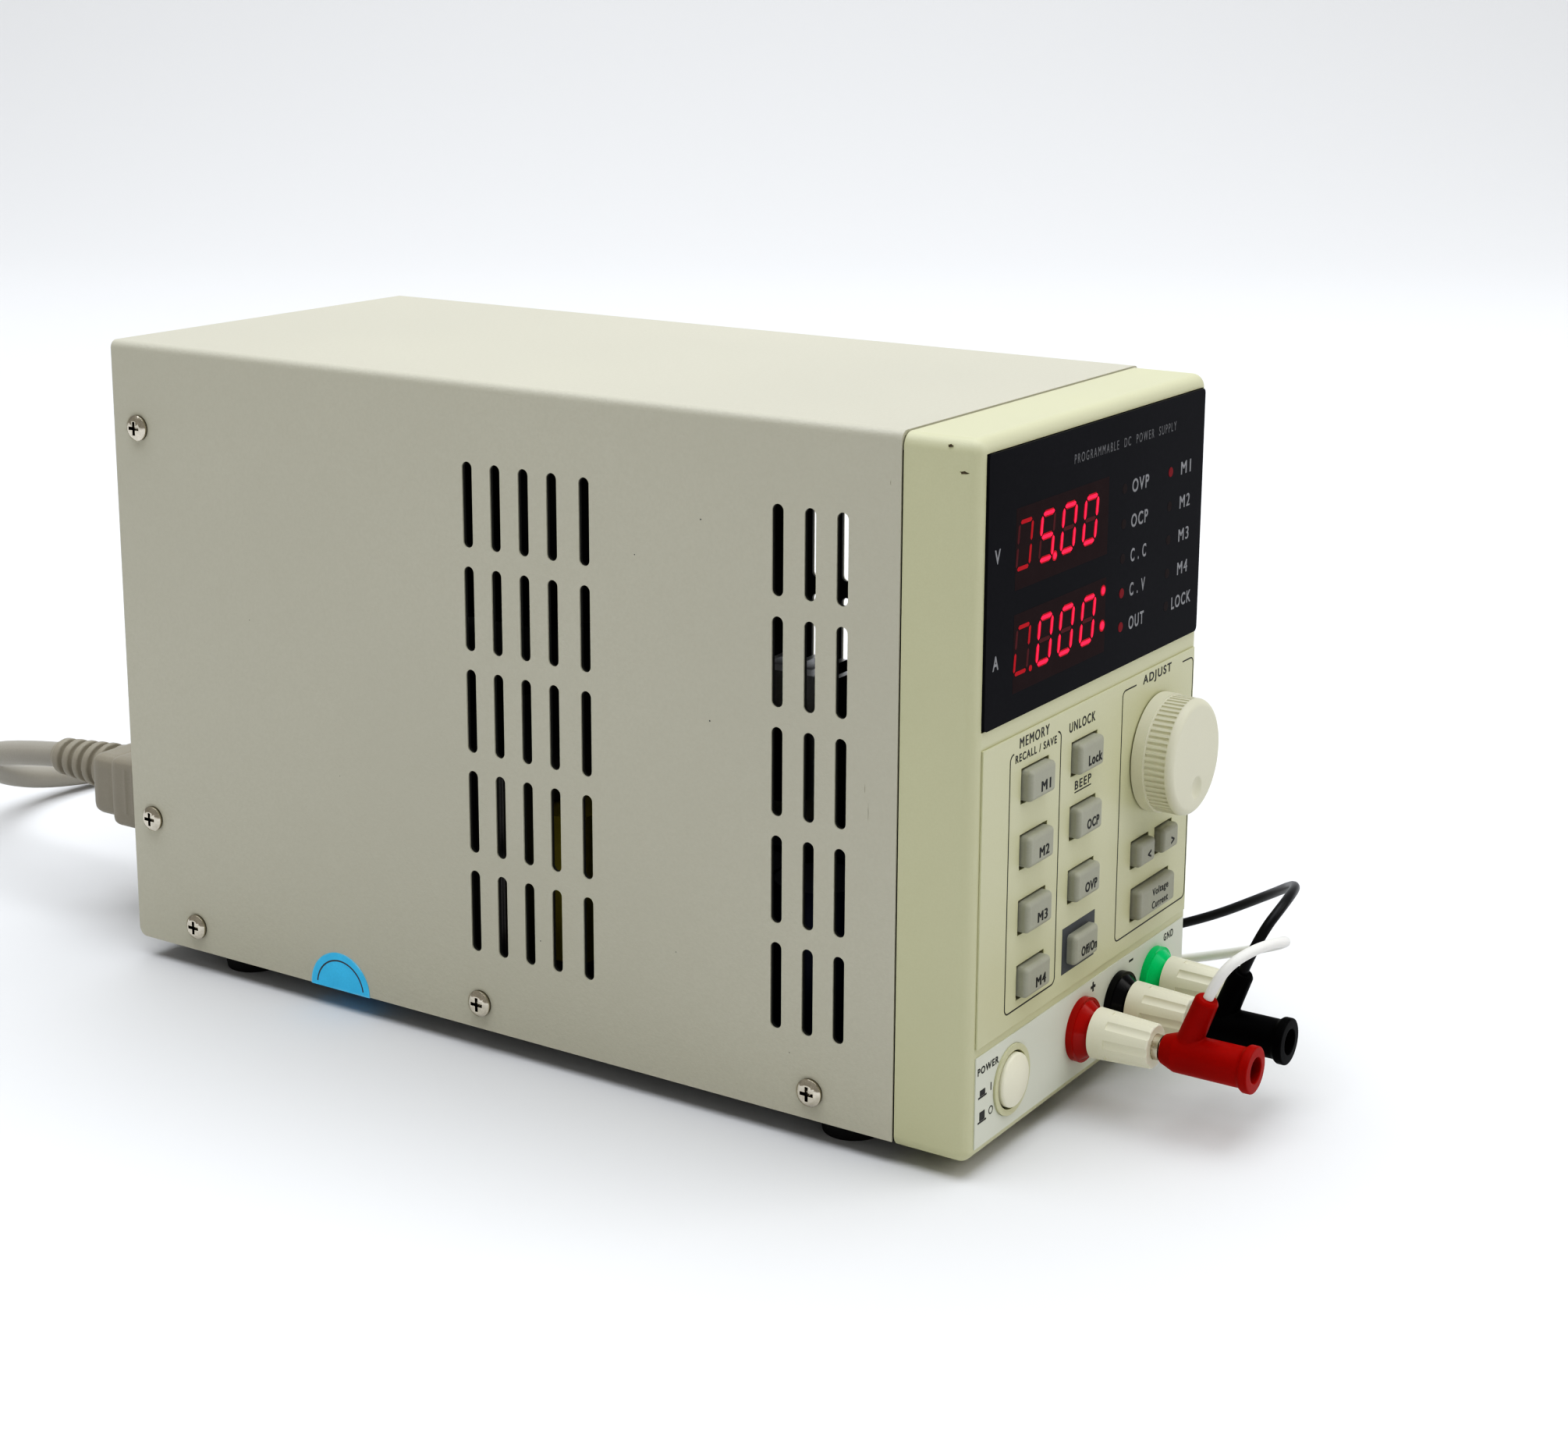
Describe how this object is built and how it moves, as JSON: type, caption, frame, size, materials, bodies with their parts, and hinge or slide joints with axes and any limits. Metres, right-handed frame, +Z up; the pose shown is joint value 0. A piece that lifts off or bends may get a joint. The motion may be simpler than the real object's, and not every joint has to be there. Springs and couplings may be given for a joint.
{
  "type": "bench power supply",
  "caption": "Small desktop bench power supply: slotted sheet-metal case, moulded front with dark display, keys, ribbed knob, mains button and binding posts, with test leads and mains lead.",
  "frame": {"origin": "centre of the footprint of the case, posts and fan guard at bench level, without the leads", "axes": "+Z up, front faces -Y, +X to the right seen from the front"},
  "size_m": [0.1936, 0.4144, 0.1615],
  "materials": {
    "case_paint": "fine textured powder coat, warm grey",
    "bezel_plastic": "satin moulded plastic, yellowish beige",
    "lens": "smoked gloss window",
    "label": "matt printed film, pale grey",
    "key_rubber": "soft grey moulded keys",
    "cream_plastic": "cream moulded plastic",
    "red_plastic": "red moulded plastic",
    "green_plastic": "green moulded plastic",
    "black_plastic": "black moulded plastic",
    "display_module": "dark seven-segment module",
    "lamps": "red diffused lamp",
    "board": "green solder mask",
    "steel": "zinc-plated steel",
    "core_steel": "varnished laminations",
    "tape": "yellow polyester tape",
    "aluminium": "extruded",
    "capacitor": "sleeved cans",
    "chrome": "nickel plate",
    "nickel": "nickel-plated brass",
    "brass": "turned",
    "rubber": "black rubber",
    "sticker": "blue paper seal",
    "grey_moulding": "soft grey PVC",
    "grey_cord": "grey PVC sheath",
    "white_wire": "white silicone sheath",
    "black_wire": "black silicone sheath"
  },
  "bodies": {
    "root": {"cover": "case_paint", "chassis_tray": "steel", "rear_panel": "case_paint", "front_bezel": "bezel_plastic", "display_lens": "lens", "control_field": "bezel_plastic", "terminal_label": "label", "control_board": "board", "digit_displays": "display_module", "indicator_lamps": "lamps", "key_switches": "black_plastic", "encoder_body": "steel", "power_switch": "black_plastic", "transformer_core": "core_steel", "transformer_winding": "tape", "heat_sink": "aluminium", "power_transistors": "black_plastic", "main_board": "board", "filter_capacitors": "capacitor", "fan_frame": "black_plastic", "fan_guard": "chrome", "mains_inlet": "black_plastic", "data_sockets": "steel", "rubber_feet": "rubber", "case_screws": "chrome", "seal_sticker": "sticker", "post_collar_red": "red_plastic", "post_collar_black": "black_plastic", "post_collar_green": "green_plastic", "post_studs": "nickel", "mains_connector": "grey_moulding", "mains_cord": "grey_cord", "mains_coil": "grey_cord", "mains_plug": "grey_moulding", "red_lead_plug": "red_plastic", "black_lead_plug": "black_plastic", "red_lead_wire": "white_wire", "black_lead_wire": "black_wire", "lead_end_plugs": "black_plastic"},
    "key_memory_one": {"key_memory_one": "key_rubber"},
    "key_memory_two": {"key_memory_two": "key_rubber"},
    "key_memory_three": {"key_memory_three": "key_rubber"},
    "key_memory_four": {"key_memory_four": "key_rubber"},
    "key_lock": {"key_lock": "key_rubber"},
    "key_current_limit": {"key_current_limit": "key_rubber"},
    "key_voltage_limit": {"key_voltage_limit": "key_rubber"},
    "key_output": {"key_output": "key_rubber"},
    "key_step_left": {"key_step_left": "key_rubber"},
    "key_step_right": {"key_step_right": "key_rubber"},
    "key_select": {"key_select": "key_rubber"},
    "adjust_knob": {"adjust_knob": "cream_plastic", "encoder_shaft": "steel"},
    "power_button": {"power_button": "cream_plastic"},
    "fan_rotor": {"fan_rotor": "black_plastic"},
    "post_thread_red": {"post_insert_red": "brass"},
    "post_cap_red": {"post_cap_red": "cream_plastic"},
    "post_thread_black": {"post_insert_black": "brass"},
    "post_cap_black": {"post_cap_black": "cream_plastic"},
    "post_thread_green": {"post_insert_green": "brass"},
    "post_cap_green": {"post_cap_green": "cream_plastic"}
  },
  "joints": [
    {"name": "key_memory_one_press", "type": "slide", "parent": "root", "child": "key_memory_one", "axis": [0, 1, 0], "range_m": [0, 0.001], "stiffness_N_per_m": 400},
    {"name": "key_memory_two_press", "type": "slide", "parent": "root", "child": "key_memory_two", "axis": [0, 1, 0], "range_m": [0, 0.001], "stiffness_N_per_m": 400},
    {"name": "key_memory_three_press", "type": "slide", "parent": "root", "child": "key_memory_three", "axis": [0, 1, 0], "range_m": [0, 0.001], "stiffness_N_per_m": 400},
    {"name": "key_memory_four_press", "type": "slide", "parent": "root", "child": "key_memory_four", "axis": [0, 1, 0], "range_m": [0, 0.001], "stiffness_N_per_m": 400},
    {"name": "key_lock_press", "type": "slide", "parent": "root", "child": "key_lock", "axis": [0, 1, 0], "range_m": [0, 0.001], "stiffness_N_per_m": 400},
    {"name": "key_current_limit_press", "type": "slide", "parent": "root", "child": "key_current_limit", "axis": [0, 1, 0], "range_m": [0, 0.001], "stiffness_N_per_m": 400},
    {"name": "key_voltage_limit_press", "type": "slide", "parent": "root", "child": "key_voltage_limit", "axis": [0, 1, 0], "range_m": [0, 0.001], "stiffness_N_per_m": 400},
    {"name": "key_output_press", "type": "slide", "parent": "root", "child": "key_output", "axis": [0, 1, 0], "range_m": [0, 0.001], "stiffness_N_per_m": 400},
    {"name": "key_step_left_press", "type": "slide", "parent": "root", "child": "key_step_left", "axis": [0, 1, 0], "range_m": [0, 0.001], "stiffness_N_per_m": 400},
    {"name": "key_step_right_press", "type": "slide", "parent": "root", "child": "key_step_right", "axis": [0, 1, 0], "range_m": [0, 0.001], "stiffness_N_per_m": 400},
    {"name": "key_select_press", "type": "slide", "parent": "root", "child": "key_select", "axis": [0, 1, 0], "range_m": [0, 0.001], "stiffness_N_per_m": 400},
    {"name": "knob_turn", "type": "hinge", "parent": "root", "child": "adjust_knob", "pos_m": [0.0322, -0.11975, 0.075], "axis": [0, -1, 0], "continuous": true},
    {"name": "power_button_release", "type": "slide", "parent": "root", "child": "power_button", "axis": [0, -1, 0], "range_m": [0, 0.003]},
    {"name": "fan_spin", "type": "hinge", "parent": "root", "child": "fan_rotor", "pos_m": [0.006, 0.1165, 0.112], "axis": [0, 1, 0], "continuous": true},
    {"name": "cap_red_rise", "type": "slide", "parent": "root", "child": "post_thread_red", "axis": [0, -1, 0], "range_m": [0, 0.0016]},
    {"name": "cap_red_unscrew", "type": "hinge", "parent": "post_thread_red", "child": "post_cap_red", "pos_m": [-0.0027, -0.12675, 0.01785], "axis": [0, 1, 0], "range_deg": [0, 721]},
    {"name": "cap_black_rise", "type": "slide", "parent": "root", "child": "post_thread_black", "axis": [0, -1, 0], "range_m": [0, 0.0016]},
    {"name": "cap_black_unscrew", "type": "hinge", "parent": "post_thread_black", "child": "post_cap_black", "pos_m": [0.01635, -0.12675, 0.01785], "axis": [0, 1, 0], "range_deg": [0, 721]},
    {"name": "cap_green_rise", "type": "slide", "parent": "root", "child": "post_thread_green", "axis": [0, -1, 0], "range_m": [0, 0.0048]},
    {"name": "cap_green_unscrew", "type": "hinge", "parent": "post_thread_green", "child": "post_cap_green", "pos_m": [0.0354, -0.12675, 0.01785], "axis": [0, 1, 0], "range_deg": [0, 2161]}
  ],
  "couplings": [
    {"joint": "cap_red_unscrew", "follows": "cap_red_rise", "rad_per_m": 7854},
    {"joint": "cap_black_unscrew", "follows": "cap_black_rise", "rad_per_m": 7854},
    {"joint": "cap_green_unscrew", "follows": "cap_green_rise", "rad_per_m": 7854}
  ]
}
